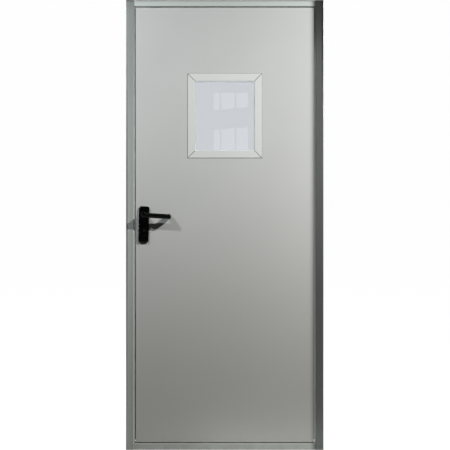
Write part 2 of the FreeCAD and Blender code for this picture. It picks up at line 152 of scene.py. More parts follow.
def build_paint_group():
    """Sprayed paint: slow changes of tone, dust low down and an orange-peel height."""
    tree, start, end = new_group(
        "sprayed_paint",
        (
            ("Paint", "NodeSocketColor", (0.5, 0.5, 0.5, 1)),
            ("Dust", "NodeSocketColor", (0.4, 0.38, 0.34, 1)),
            ("Tone", "NodeSocketFloat", 0.02),
            ("Dust Height", "NodeSocketFloat", 0.15),
        ),
        skin_outputs,
    )
    place = add_node(tree, "ShaderNodeTexCoord").outputs["Object"]
    slow = noise(tree, place, 2.2)
    lower = maths(tree, "SUBTRACT", 1.0, start.outputs["Tone"])
    upper = maths(tree, "ADD", 1.0, start.outputs["Tone"])
    toned = scale_colour(tree, start.outputs["Paint"], spread(tree, slow, 0.3, 0.7, lower, upper))
    split = add_node(tree, "ShaderNodeSeparateXYZ")
    tree.links.new(place, split.inputs["Vector"])
    low_down = spread(tree, split.outputs["Z"], 0.0, start.outputs["Dust Height"], 0.35, 0.0, True)
    cloudy = spread(tree, noise(tree, place, 26.0, 4.0), 0.42, 0.68, 0.0, 1.0)
    dust = maths(tree, "MULTIPLY", low_down, cloudy)
    dusted = blend_colours(tree, dust, toned, start.outputs["Dust"])
    gloss = spread(tree, noise(tree, place, 7.0, 3.0), 0.3, 0.7, 0.36, 0.46)
    dull = maths(tree, "ADD", gloss, maths(tree, "MULTIPLY", dust, 0.6))
    tree.links.new(dusted, end.inputs["Colour"])
    tree.links.new(dull, end.inputs["Roughness"])
    tree.links.new(noise(tree, place, 380.0, 1.0), end.inputs["Height"])
    return tree


def new_material(name):
    material = bpy.data.materials.new(name)
    material.use_nodes = True
    return material, material.node_tree, material.node_tree.nodes["Principled BSDF"]


def add_group(tree, group, **sockets):
    return add_node(tree, "ShaderNodeGroup", {"node_tree": group}, **sockets)


def add_bump(tree, height, shader, depth):
    """Raises a surface by a height of 0 to 1 over a depth in metres."""
    bump = add_node(tree, "ShaderNodeBump", Strength=1.0, Distance=depth)
    tree.links.new(height, bump.inputs["Height"])
    tree.links.new(bump.outputs["Normal"], shader.inputs["Normal"])


def skin_material(name, group, depth, **sockets):
    """A material whose colour, roughness and height come from a shared group."""
    material, tree, shader = new_material(name)
    skin = add_group(tree, group, **sockets)
    tree.links.new(skin.outputs["Colour"], shader.inputs["Base Color"])
    tree.links.new(skin.outputs["Roughness"], shader.inputs["Roughness"])
    add_bump(tree, skin.outputs["Height"], shader, depth)
    return material


paint_group = build_paint_group()
peel_depth = 0.00006


def painted_steel(name, paint, tone=0.02, dust_height=0.15):
    return skin_material(name, paint_group, peel_depth, Paint=paint, Tone=tone, Dust_Height=dust_height)


def finish_nodes(names, material):
    """Gives solids that keep their shape their finish."""
    for name in names:
        nodes[name].material_slots[0].material = material


frame_paint = painted_steel("frame_paint", colour(186, 192, 187))
finish_nodes(("jamb_lock_side", "jamb_hinge_side", "frame_head", "frame_sill"), frame_paint)


# Strike boxes and wall anchors: galvanised steel pressings, spot-welded inside the jambs.
# Their zinc skin shows a fine spangle with dull and bright grains.
def build_metal_group():
    """Bare metal: a spangle of brighter and duller grains and a fine height."""
    tree, start, end = new_group(
        "bare_metal",
        (
            ("Metal", "NodeSocketColor", (0.6, 0.6, 0.6, 1)),
            ("Grain", "NodeSocketFloat", 160.0),
            ("Least Roughness", "NodeSocketFloat", 0.32),
            ("Most Roughness", "NodeSocketFloat", 0.5),
        ),
        skin_outputs,
    )
    place = add_node(tree, "ShaderNodeTexCoord").outputs["Object"]
    cells = add_node(tree, "ShaderNodeTexVoronoi", {"feature": "F1"})
    tree.links.new(place, cells.inputs["Vector"])
    tree.links.new(start.outputs["Grain"], cells.inputs["Scale"])
    grey = add_node(tree, "ShaderNodeSeparateXYZ")
    tree.links.new(cells.outputs["Color"], grey.inputs["Vector"])
    shade = spread(tree, grey.outputs["X"], 0.0, 1.0, 0.86, 1.08)
    toned = scale_colour(tree, start.outputs["Metal"], shade)
    least, most = start.outputs["Least Roughness"], start.outputs["Most Roughness"]
    tree.links.new(toned, end.inputs["Colour"])
    tree.links.new(spread(tree, grey.outputs["Y"], 0.0, 1.0, least, most), end.inputs["Roughness"])
    tree.links.new(noise(tree, place, 900.0), end.inputs["Height"])
    return tree


metal_group = build_metal_group()


def bare_metal(name, metal, grain, depth, least, most):
    sockets = {"Metal": metal, "Grain": grain, "Least_Roughness": least, "Most_Roughness": most}
    material = skin_material(name, metal_group, depth, **sockets)
    material.node_tree.nodes["Principled BSDF"].inputs["Metallic"].default_value = 1.0
    return material


zinc_steel = bare_metal("zinc_steel", colour(196, 199, 201), 160.0, 0.00002, 0.32, 0.5)
finish_nodes(("strike_boxes", "wall_anchors"), zinc_steel)


# Anchor caps: light grey plastic plugs pushed into the access holes of the jambs' inner faces.
# Each is a thin disc with a shallow dished middle.
sharp_angle = math.radians(32.0)


def finish_mesh(name, mesh_data, material, body, replaced=()):
    """Turns a finished bmesh into a piece that rides on its body."""
    bmesh.ops.recalc_face_normals(mesh_data, faces=mesh_data.faces)
    for face in mesh_data.faces:
        face.smooth = True
    for edge in mesh_data.edges:
        if len(edge.link_faces) == 2:
            edge.smooth = edge.calc_face_angle(0.0) < sharp_angle
    mesh = bpy.data.meshes.new(name)
    mesh_data.to_mesh(mesh)
    mesh_data.free()
    mesh.materials.append(material)
    piece = bpy.data.objects.new(name, mesh)
    bpy.context.scene.collection.objects.link(piece)
    even = piece.modifiers.new("even_normals", "WEIGHTED_NORMAL")
    even.keep_sharp = True
    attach(piece, body)
    for node in replaced:
        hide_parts(node)


def add_disc(mesh_data, centre, axis, radius, thickness, sides=40):
    """A round plate; axis points out of its face. Returns its outer face."""
    turn = Vector((0, 0, 1)).rotation_difference(Vector(axis)).to_matrix().to_4x4()
    place = Matrix.Translation(Vector(centre)) @ turn
    made = bmesh.ops.create_circle(mesh_data, cap_ends=True, segments=sides, radius=radius, matrix=place)
    base = {face for vert in made["verts"] for face in vert.link_faces}
    grown = bmesh.ops.extrude_face_region(mesh_data, geom=list(base))["geom"]
    rim = [item for item in grown if isinstance(item, bmesh.types.BMVert)]
    bmesh.ops.translate(mesh_data, verts=rim, vec=Vector(axis) * thickness)
    return next(item for item in grown if isinstance(item, bmesh.types.BMFace))


def dish_face(mesh_data, face, width, depth, axis):
    """Insets a face and sinks it a little, with a sloping wall."""
    bmesh.ops.inset_region(mesh_data, faces=[face], thickness=width, use_even_offset=True)
    bmesh.ops.translate(mesh_data, verts=list(face.verts), vec=Vector(axis) * -depth)


def build_moulded_group():
    """Moulded plastic or rubber: a fine grain and a slightly uneven tone and gloss."""
    tree, start, end = new_group(
        "moulded_skin",
        (
            ("Plastic", "NodeSocketColor", (0.1, 0.1, 0.1, 1)),
            ("Least Roughness", "NodeSocketFloat", 0.5),
            ("Most Roughness", "NodeSocketFloat", 0.6),
        ),
        skin_outputs,
    )
    place = add_node(tree, "ShaderNodeTexCoord").outputs["Object"]
    shade = spread(tree, noise(tree, place, 30.0), 0.3, 0.7, 0.9, 1.1)
    least, most = start.outputs["Least Roughness"], start.outputs["Most Roughness"]
    gloss = spread(tree, noise(tree, place, 55.0), 0.3, 0.7, least, most)
    tree.links.new(scale_colour(tree, start.outputs["Plastic"], shade), end.inputs["Colour"])
    tree.links.new(gloss, end.inputs["Roughness"])
    tree.links.new(noise(tree, place, 1400.0), end.inputs["Height"])
    return tree


moulded_group = build_moulded_group()
grain_depth = 0.00003


def soft_plastic(name, plastic, least, most):
    sockets = {"Plastic": plastic, "Least_Roughness": least, "Most_Roughness": most}
    return skin_material(name, moulded_group, grain_depth, **sockets)


cap_radius = 7.9 * MM
cap_thickness = 1.4 * MM
cap_rim = 1.6 * MM
cap_dish = 0.3 * MM
caps_low, caps_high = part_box("anchor_caps")
strap_low, strap_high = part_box("wall_anchors")
anchor_half_height = 30.0 * MM
anchor_lowest = strap_low.z + anchor_half_height
anchor_highest = strap_high.z - anchor_half_height
anchor_heights = (anchor_lowest, (anchor_lowest + anchor_highest) / 2, anchor_highest)

cap_plastic = soft_plastic("cap_plastic", colour(150, 154, 150), 0.45, 0.55)
caps = bmesh.new()
for side, web_x in ((-1, caps_low.x), (1, caps_high.x)):
    for height in anchor_heights:
        outward = (-side, 0, 0)
        back = (web_x, 0, height)
        rim_face = add_disc(caps, back, outward, cap_radius, cap_thickness)
        dish_face(caps, rim_face, cap_rim, cap_dish, outward)
finish_mesh("anchor_caps_detailed", caps, cap_plastic, "frame", ("anchor_caps",))


# Seals on the frame: black hollow-bulb rubber under the leaf's lip, and a grey strip glued
# into the groove round the leaf. Both are extruded and cut square at their ends.
strip_sides = 28


def add_strip(mesh_data, low, high, along, outward):
    """A strip with a flat back and a rounded face that looks along outward."""
    low, high, outward = Vector(low), Vector(high), Vector(outward)
    centre = (low + high) / 2
    size = high - low
    run = Vector([1.0 if axis == along else 0.0 for axis in "xyz"])
    across = run.cross(outward)
    height = abs(size.dot(outward))
    width = abs(size.dot(across))
    base = centre - outward * height / 2
    length = abs(size.dot(run))
    turn = Matrix((across, outward, run)).transposed().to_4x4()
    place = Matrix.Translation(base - run * length / 2) @ turn
    made = bmesh.ops.create_circle(mesh_data, cap_ends=True, segments=strip_sides, radius=1.0)
    verts = made["verts"]
    for vert in verts:
        vert.co = Vector((vert.co.x * width / 2, max(vert.co.y, 0.0) * height, 0.0))
    bmesh.ops.transform(mesh_data, matrix=place, verts=verts)
    face = next(face for vert in verts for face in vert.link_faces)
    grown = bmesh.ops.extrude_face_region(mesh_data, geom=[face])["geom"]
    moved = [item for item in grown if isinstance(item, bmesh.types.BMVert)]
    bmesh.ops.translate(mesh_data, verts=moved, vec=run * length)


black_rubber = soft_plastic("black_rubber", colour(34, 34, 35), 0.6, 0.75)
grey_rubber = soft_plastic("grey_rubber", colour(206, 211, 206), 0.55, 0.7)

lip_low, lip_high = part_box("lip_gaskets")
lip_strip = 5.0 * MM
strip_gap = 0.2 * MM
lip_seals = bmesh.new()
for side in (-1, 1):
    inner_x, outer_x = side * (lip_high.x - lip_strip), side * lip_high.x
    low = (min(inner_x, outer_x), lip_low.y, lip_low.z)
    high = (max(inner_x, outer_x), lip_high.y, lip_high.z - lip_strip - strip_gap)
    add_strip(lip_seals, low, high, "z", (0, 1, 0))
low = (lip_low.x, lip_low.y, lip_high.z - lip_strip)
add_strip(lip_seals, low, lip_high, "x", (0, 1, 0))
finish_mesh("lip_gaskets_detailed", lip_seals, black_rubber, "frame", ("lip_gaskets",))

groove_low, groove_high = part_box("groove_seals")
groove_seal_side = 5.1 * MM
groove_seal_rail = 2.9 * MM
groove_strips = bmesh.new()
for side in (-1, 1):
    inner_x, outer_x = side * (groove_high.x - groove_seal_side), side * groove_high.x
    low = (min(inner_x, outer_x), groove_low.y, groove_low.z)
    high = (max(inner_x, outer_x), groove_high.y, groove_high.z)
    add_strip(groove_strips, low, high, "z", (-side, 0, 0))
rail_reach = groove_high.x - groove_seal_side - strip_gap
for low_z, high_z, outward in (
    (groove_low.z, groove_low.z + groove_seal_rail, (0, 0, 1)),
    (groove_high.z - groove_seal_rail, groove_high.z, (0, 0, -1)),
):
    low, high = (-rail_reach, groove_low.y, low_z), (rail_reach, groove_high.y, high_z)
    add_strip(groove_strips, low, high, "x", outward)
finish_mesh("groove_seals_detailed", groove_strips, grey_rubber, "frame", ("groove_seals",))

# Painted light: the hinge-side seal glows faintly in place of the light that the leaf's edge throws back on
# it. The glow fades out towards the head.
painted_light_share = 0.13
painted_light_fades = (1.78, 1.92)
seal_tree = grey_rubber.node_tree
seal_coordinates = add_node(seal_tree, "ShaderNodeTexCoord")
seal_place = add_node(seal_tree, "ShaderNodeSeparateXYZ")
seal_tree.links.new(seal_coordinates.outputs["Object"], seal_place.inputs["Vector"])
hinge_side = maths(seal_tree, "GREATER_THAN", seal_place.outputs["X"], rail_reach)
seal_painted_glow = spread(seal_tree, seal_place.outputs["Z"], *painted_light_fades, painted_light_share, 0.0)
seal_painted_glow = maths(seal_tree, "MULTIPLY", hinge_side, seal_painted_glow)
seal_painted_light = blend_colours(seal_tree, seal_painted_glow, (0, 0, 0, 1), (1, 1, 1, 1))
seal_shader = seal_tree.nodes["Principled BSDF"]
seal_shader.inputs["Emission Strength"].default_value = 1.0
seal_tree.links.new(seal_painted_light, seal_shader.inputs["Emission Color"])


# Leaf: two folded sheets round two layers of mineral wool, sprayed light grey like the frame.
# A white channel closes the lower edge and holds a black rubber strip with three ribs.
leaf_paint = painted_steel("leaf_paint", colour(190, 191, 188), tone=0.012, dust_height=0.1)
finish_nodes(("leaf_push_sheet", "leaf_pull_sheet", "window_liner"), leaf_paint)

channel_paint = painted_steel("channel_paint", colour(226, 227, 224))
finish_nodes(("leaf_bottom_channel", "core_mid_sheet"), channel_paint)


def bevel_edges(mesh_data, edges, width, segments):
    bmesh.ops.bevel(
        mesh_data,
        geom=edges,
        offset=width,
        segments=segments,
        profile=0.5,
        affect="EDGES",
        material=-1,
    )


def add_block(mesh_data, low, high, bevel_width=0.0, segments=2):
    """A box between two corners, with its edges eased where a width is given."""
    low, high = Vector(low), Vector(high)
    size = high - low
    place = Matrix.Translation((low + high) / 2) @ Matrix.Diagonal((*size, 1))
    verts = bmesh.ops.create_cube(mesh_data, size=1.0, matrix=place)["verts"]
    if bevel_width > 0:
        edges = list({edge for vert in verts for edge in vert.link_edges})
        bevel_edges(mesh_data, edges, bevel_width, segments)


bottom_low, bottom_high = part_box("bottom_seal")
seal_base = 3.0 * MM
seal_edge = 0.5 * MM
rib_width = 7.0 * MM
rib_end = 1.0 * MM
ribs = bmesh.new()
add_block(ribs, (bottom_low.x, bottom_low.y, bottom_low.z + seal_base), bottom_high, seal_edge)
middle_y = (bottom_low.y + bottom_high.y) / 2
for rib_y in (bottom_low.y + rib_width, middle_y, bottom_high.y - rib_width):
    low = (bottom_low.x + rib_end, rib_y - rib_width / 2, bottom_low.z)
    high = (bottom_high.x - rib_end, rib_y + rib_width / 2, bottom_low.z + seal_base)
    add_strip(ribs, low, high, "x", (0, 0, -1))
finish_mesh("bottom_seal_detailed", ribs, black_rubber, "leaf", ("bottom_seal",))


def mineral_wool():
    material, tree, shader = new_material("mineral_wool")
    place = add_node(tree, "ShaderNodeTexCoord").outputs["Object"]
    fibres = add_node(tree, "ShaderNodeMapping")
    fibres.inputs["Scale"].default_value = (1.0, 6.0, 1.0)
    tree.links.new(place, fibres.inputs["Vector"])
    strands = noise(tree, fibres.outputs["Vector"], 90.0, 6.0)
    mixed = blend_colours(tree, strands, colour(150, 120, 52), colour(232, 212, 130))
    tree.links.new(mixed, shader.inputs["Base Color"])
    tree.links.new(spread(tree, strands, 0.3, 0.7, 0.85, 1.0), shader.inputs["Roughness"])
    add_bump(tree, strands, shader, 0.0015)
    return material


finish_nodes(("core_push_batt", "core_pull_batt"), mineral_wool())


# Window: pale painted beads, mitred at the corners, clamp a double-glazed pane between two
# pale grey gaskets. Black tape under the beads shows as a fine dark line round them, partly
# tape and partly painted shade of the seam; upright black strips in the mitres are painted
# shade of the joints. The pane is two sheets of faintly blue glass on a metal spacer.
def build_painted_pocket_light_group():
    """Painted light on faces square to the pane, most on those facing down, in place of light that the pane
    throws back.
    """
    tree, start, end = new_group(
        "painted_pocket_light",
        (("Share", "NodeSocketFloat", 0.25), ("More Below", "NodeSocketFloat", 0.45)),
        (("Glow", "NodeSocketColor"),),
    )
    split = add_node(tree, "ShaderNodeSeparateXYZ")
    tree.links.new(add_node(tree, "ShaderNodeTexCoord").outputs["Normal"], split.inputs["Vector"])
    square = maths(tree, "LESS_THAN", maths(tree, "ABSOLUTE", split.outputs["Y"]), 0.3)
    facing_down = maths(tree, "LESS_THAN", split.outputs["Z"], -0.5)
    more = maths(tree, "MULTIPLY", facing_down, start.outputs["More Below"])
    share = maths(tree, "ADD", more, start.outputs["Share"])
    glow = maths(tree, "MULTIPLY", square, share)
    tree.links.new(blend_colours(tree, glow, (0, 0, 0, 1), (0.95, 0.97, 1.0, 1)), end.inputs["Glow"])
    return tree


painted_pocket_light_group = build_painted_pocket_light_group()


# Painted light: a glow on faces square to the pane, though no lamp is there.
def add_painted_pocket_light(material):
    tree = material.node_tree
    glow = add_group(tree, painted_pocket_light_group, Share=0.25, More_Below=0.45)
    shader = tree.nodes["Principled BSDF"]
    shader.inputs["Emission Strength"].default_value = 1.0
    tree.links.new(glow.outputs["Glow"], shader.inputs["Emission Color"])


bead_paint = painted_steel("bead_paint", colour(208, 210, 206), tone=0.008, dust_height=0.05)
# Painted light: the beads' faces square to the pane glow, most those facing down.
add_painted_pocket_light(bead_paint)
for edge in ("top", "bottom", "left", "right"):
    finish_nodes(("glazing_bead_push_" + edge, "glazing_bead_pull_" + edge), bead_paint)
pale_gasket = soft_plastic("pale_gasket", colour(186, 190, 194), 0.55, 0.7)
# Painted light: the gaskets' faces square to the pane glow in the same way.
add_painted_pocket_light(pale_gasket)
finish_nodes(("glazing_gasket_push", "glazing_gasket_pull"), pale_gasket)


def add_screw(mesh_data, centre, axis, radius, height):
    """A screw head with a domed rim and a sunk cross recess; its sizes are shares of its radius."""
    head = add_disc(mesh_data, centre, axis, radius, height, 24)
    dish_face(mesh_data, head, radius * 0.16, -radius * 0.08, axis)
    bmesh.ops.inset_region(mesh_data, faces=[head], thickness=radius * 0.3, use_even_offset=True)
    middle = head.calc_center_median()
    for place, loop in enumerate(head.loops):
        if place % 6 in (2, 3, 4):
            loop.vert.co = middle + (loop.vert.co - middle) * 0.34
    sunk = bmesh.ops.extrude_face_region(mesh_data, geom=[head])["geom"]
    floor = [item for item in sunk if isinstance(item, bmesh.types.BMVert)]
    bmesh.ops.translate(mesh_data, verts=floor, vec=Vector(axis) * radius * -0.3)


def window_glass():
    material, tree, shader = new_material("window_glass")
    shader.inputs["Base Color"].default_value = (0.79, 0.803, 0.824, 1)
    shader.inputs["Roughness"].default_value = 0.0
    shader.inputs["IOR"].default_value = 1.5
    shader.inputs["Transmission Weight"].default_value = 1.0
    place = add_node(tree, "ShaderNodeTexCoord").outputs["Object"]
    add_bump(tree, noise(tree, place, 3.0), shader, 0.00002)
    return material


tape_rim = 1.2 * MM
mitre_shade_width = 2.1 * MM
mitre_shade_rise = 2.53 * MM
mitre_shade_inset = 1.0 * MM
tape_depth = 0.5 * MM
bead_face = 34.0 * MM
bead_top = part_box("glazing_bead_push_top")
bead_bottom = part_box("glazing_bead_push_bottom")
bead_outer_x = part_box("glazing_bead_push_right")[1].x
beads_low_z, beads_high_z = bead_bottom[0].z, bead_top[1].z
pull_face_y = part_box("leaf_pull_sheet")[1].y
tape_and_seam_shade = soft_plastic("tape_and_seam_shade", colour(30, 30, 30), 0.7, 0.8)
for name, face_y, outward in (
    ("glazing_tape_and_shade_push", push_face_y, -1),
    ("glazing_tape_and_shade_pull", pull_face_y, 1),
):
    tape_and_shade = bmesh.new()
    y0, y1 = sorted((face_y, face_y + outward * tape_depth))
    for side in (-1, 1):
        inner_x, outer_x = side * bead_outer_x, side * (bead_outer_x + tape_rim)
        low = (min(inner_x, outer_x), y0, beads_low_z - tape_rim)
        add_block(tape_and_shade, low, (max(inner_x, outer_x), y1, beads_high_z + tape_rim))
    add_block(tape_and_shade, (-bead_outer_x, y0, beads_low_z - tape_rim), (bead_outer_x, y1, beads_low_z))
    add_block(tape_and_shade, (-bead_outer_x, y0, beads_high_z), (bead_outer_x, y1, beads_high_z + tape_rim))
    # Painted shade: an upright black strip stands in each of the four mitre joints.
    for side, rise in ((-1, 1), (1, 1), (-1, -1), (1, -1)):
        corner_z = beads_low_z if rise > 0 else beads_high_z
        inward = Vector((-side, 0, rise))
        run = inward.normalized()
        across = run.cross(Vector((0, 1, 0)))
        corner = Vector((side * bead_outer_x, face_y + outward * mitre_shade_rise / 2, corner_z))
        turn = Matrix((run, (0, 1, 0), across)).transposed().to_4x4()
        length = inward.length * (bead_face - 2 * mitre_shade_inset)
        place = Matrix.Translation(corner + inward * bead_face / 2) @ turn
        size = Matrix.Diagonal((length, mitre_shade_rise, mitre_shade_width, 1))
        bmesh.ops.create_cube(tape_and_shade, size=1.0, matrix=place @ size)
    finish_mesh(name, tape_and_shade, tape_and_seam_shade, "leaf")

bead_screw = (3.2 * MM, 0.6 * MM)
screw_spread = 0.62
bead_screws = bmesh.new()
screw_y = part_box("glazing_bead_pull_top")[1].y
middle_x = bead_outer_x - bead_face / 2
middle_z = (beads_low_z + beads_high_z) / 2
half_z = beads_high_z - middle_z
for share in (-screw_spread, screw_spread):
    for edge_z in (beads_low_z + bead_face / 2, beads_high_z - bead_face / 2):
        add_screw(bead_screws, (share * middle_x, screw_y, edge_z), (0, 1, 0), *bead_screw)
    for side in (-1, 1):
        place = (side * middle_x, screw_y, middle_z + share * half_z)
        add_screw(bead_screws, place, (0, 1, 0), *bead_screw)
finish_mesh("bead_screws", bead_screws, zinc_steel, "leaf")

glass_sheet = 4.0 * MM
glass_edge = 0.4 * MM
spacer_width = 6.0 * MM
spacer_edge = 0.5 * MM
pane_low, pane_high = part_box("glass_pane")
glass = window_glass()
for name, y0 in (("glass_push_sheet", pane_low.y), ("glass_pull_sheet", pane_high.y - glass_sheet)):
    sheet = bmesh.new()
    low = (pane_low.x, y0, pane_low.z)
    high = (pane_high.x, y0 + glass_sheet, pane_high.z)
    add_block(sheet, low, high, glass_edge, 1)
    replaced = ("glass_pane",) if name == "glass_push_sheet" else ()
    finish_mesh(name, sheet, glass, "leaf", replaced)

spacer_gap = 0.1 * MM
spacer = bmesh.new()
y0 = pane_low.y + glass_sheet + spacer_gap
y1 = pane_high.y - glass_sheet - spacer_gap
for side in (-1, 1):
    outer_x = side * (pane_high.x - spacer_gap)
    inner_x = outer_x - side * spacer_width
    low = (min(outer_x, inner_x), y0, pane_low.z + spacer_gap)
    high = (max(outer_x, inner_x), y1, pane_high.z - spacer_gap)
    add_block(spacer, low, high, spacer_edge)
reach = pane_high.x - spacer_width - 2 * spacer_gap
for z0, z1 in (
    (pane_low.z + spacer_gap, pane_low.z + spacer_width),
    (pane_high.z - spacer_width, pane_high.z - spacer_gap),
):
    add_block(spacer, (-reach, y0, z0), (reach, y1, z1), spacer_edge)
finish_mesh("glass_spacer", spacer, zinc_steel, "leaf")


# Lock: a galvanised case in the leaf's edge behind a long faceplate, with the latch and the
# deadbolt drawn back flush. Two screws hold the faceplate and a third the cylinder.
finish_nodes(("lock_case", "lock_faceplate", "latch_nose", "deadbolt", "lock_follower"), zinc_steel)
faceplate_low, faceplate_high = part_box("lock_faceplate")
cylinder_low, cylinder_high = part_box("profile_cylinder")
lock_y = (faceplate_low.y + faceplate_high.y) / 2
barrel_radius = (cylinder_high.x - cylinder_low.x) / 2
barrel_z = cylinder_high.z - barrel_radius
screw_from_end = 12.0 * MM
faceplate_screw_radius = 4.2 * MM
cylinder_screw_radius = 3.2 * MM
cylinder_screw_drop = 28.0 * MM
lock_screw_height = 0.6 * MM
lock_screw_sink = 0.2 * MM
lock_screws = bmesh.new()
for height, radius in (
    (faceplate_low.z + screw_from_end, faceplate_screw_radius),
    (faceplate_high.z - screw_from_end, faceplate_screw_radius),
    (barrel_z - cylinder_screw_drop, cylinder_screw_radius),
):
    place = (faceplate_low.x + lock_screw_sink, lock_y, height)
    add_screw(lock_screws, place, (-1, 0, 0), radius, lock_screw_height)
finish_mesh("lock_screws", lock_screws, zinc_steel, "leaf")

# Profile cylinder: a polished nickel body with a turning plug at both ends; a flat black patch
# in the keyway's shape on each plug is painted shade for the slot.
# Its rims are broken by a fine bevel.
cylinder_nickel = bare_metal("cylinder_nickel", colour(74, 73, 70), 2500.0, 0.000004, 0.12, 0.2)
lever_axis_x = (cylinder_low.x + cylinder_high.x) / 2
tip_radius = 5.0 * MM
tip_z = cylinder_low.z + tip_radius
join_angle = math.acos(tip_radius / barrel_radius)


def arc(centre_z, radius, start, turn, steps):
    """Points of an arc round the lever's axis line, as (x, z) pairs."""
    points = []
    for step in range(steps + 1):
        angle = start + turn * step / steps
        points.append((lever_axis_x + radius * math.cos(angle), centre_z + radius * math.sin(angle)))
    return points


outline = arc(barrel_z, barrel_radius, -join_angle, math.pi + 2 * join_angle, 40)
outline += arc(tip_z, tip_radius, math.pi, math.pi, 14)

plug_rise = 0.6 * MM
plug_radius = 6.2 * MM
plug_edge = 0.25 * MM
cylinder_edge = 0.5 * MM
body_front, body_back = cylinder_low.y + plug_rise, cylinder_high.y - plug_rise
cylinder = bmesh.new()
front_face = cylinder.faces.new([cylinder.verts.new((x, body_front, z)) for x, z in outline])
grown = bmesh.ops.extrude_face_region(cylinder, geom=[front_face])["geom"]
far_verts = [item for item in grown if isinstance(item, bmesh.types.BMVert)]
bmesh.ops.translate(cylinder, verts=far_verts, vec=(0, body_back - body_front, 0))
caps_found = [face for face in cylinder.faces if len(face.verts) > 4]
rims = list({edge for face in caps_found for edge in face.edges})
bevel_edges(cylinder, rims, cylinder_edge, 2)
for face_y, direction in ((body_front, -1), (body_back, 1)):
    face = add_disc(cylinder, (lever_axis_x, face_y, barrel_z), (0, direction, 0), plug_radius, plug_rise)
    bevel_edges(cylinder, list(face.edges), plug_edge, 2)
finish_mesh(
    "profile_cylinder_detailed", cylinder, cylinder_nickel, "leaf", ("profile_cylinder",)
)

# Painted shade: flat black patches, barely proud of the plug faces, stand for the dark inside of the
# keyways.
painted_keyway_shade = soft_plastic("painted_keyway_shade", colour(10, 10, 10), 0.7, 0.8)
slot_left, slot_right = lever_axis_x - 0.8 * MM, lever_axis_x + 0.8 * MM
slot_bottom, slot_top = barrel_z - 4.4 * MM, barrel_z + 3.6 * MM
ward_right = lever_axis_x + 1.7 * MM
ward_bottom, ward_top = barrel_z - 1.2 * MM, barrel_z + 0.2 * MM
keyway_sink = 0.3 * MM
keyway_proud = 0.02 * MM
keyway_shade_patches = bmesh.new()
for face_y, direction in ((cylinder_low.y, -1), (cylinder_high.y, 1)):
    near_y, far_y = sorted((face_y - direction * keyway_sink, face_y + direction * keyway_proud))
    add_block(keyway_shade_patches, (slot_left, near_y, slot_bottom), (slot_right, far_y, slot_top))
    add_block(keyway_shade_patches, (slot_right, near_y, ward_bottom), (ward_right, far_y, ward_top))
finish_mesh("keyway_shade_patches", keyway_shade_patches, painted_keyway_shade, "leaf")


# Handle set: bevelled cover plates and lever handles moulded in black satin plastic,
# clamped over the same square spindle. Two screws go through the pull-side plate.
black_handle = soft_plastic("black_handle", colour(3, 3, 4), 0.24, 0.3)
black_handle.node_tree.nodes["Principled BSDF"].inputs["Specular IOR Level"].default_value = 0.09
finish_nodes(("push_handle_plate", "pull_handle_plate", "push_lever", "pull_lever"), black_handle)
finish_nodes(("spindle",), zinc_steel)

plate_low, plate_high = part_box("pull_handle_plate")
plate_screw = (3.6 * MM, 0.8 * MM)
plate_screw_from_end = 12.0 * MM
upper_lean, lower_lean = 1.0 * MM, -3.2 * MM
plate_screws = bmesh.new()
for height, lean in (
    (plate_high.z - plate_screw_from_end, upper_lean),
    (plate_low.z + plate_screw_from_end, lower_lean),
):
    add_screw(plate_screws, (lever_axis_x + lean, plate_high.y, height), (0, 1, 0), *plate_screw)
finish_mesh("plate_screws", plate_screws, zinc_steel, "leaf")


# Hinges: three turned knuckles each, welded to the frame and to the leaf's lip and sprayed
# grey, on a zinc pin with a washer under the leaf's knuckle.
hinge_paint = painted_steel("hinge_steel", colour(184, 188, 185), tone=0.03)
finish_nodes(
    ("upper_hinge_frame", "lower_hinge_frame", "upper_hinge_leaf", "lower_hinge_leaf"), hinge_paint
)
finish_nodes(("hinge_pins", "hinge_washers"), zinc_steel)


def add_weld(mesh_data, start, end):
    """A weld seam: a row of overlapping flattened drops."""
    start, end = Vector(start), Vector(end)
    count = max(2, round((end - start).length / weld_step))
    size = Matrix.Diagonal((weld_radius, weld_radius, weld_step * 0.75, 1))
    for place in range(count + 1):
        matrix = Matrix.Translation(start.lerp(end, place / count)) @ size
        bmesh.ops.create_icosphere(mesh_data, subdivisions=2, radius=1.0, matrix=matrix)


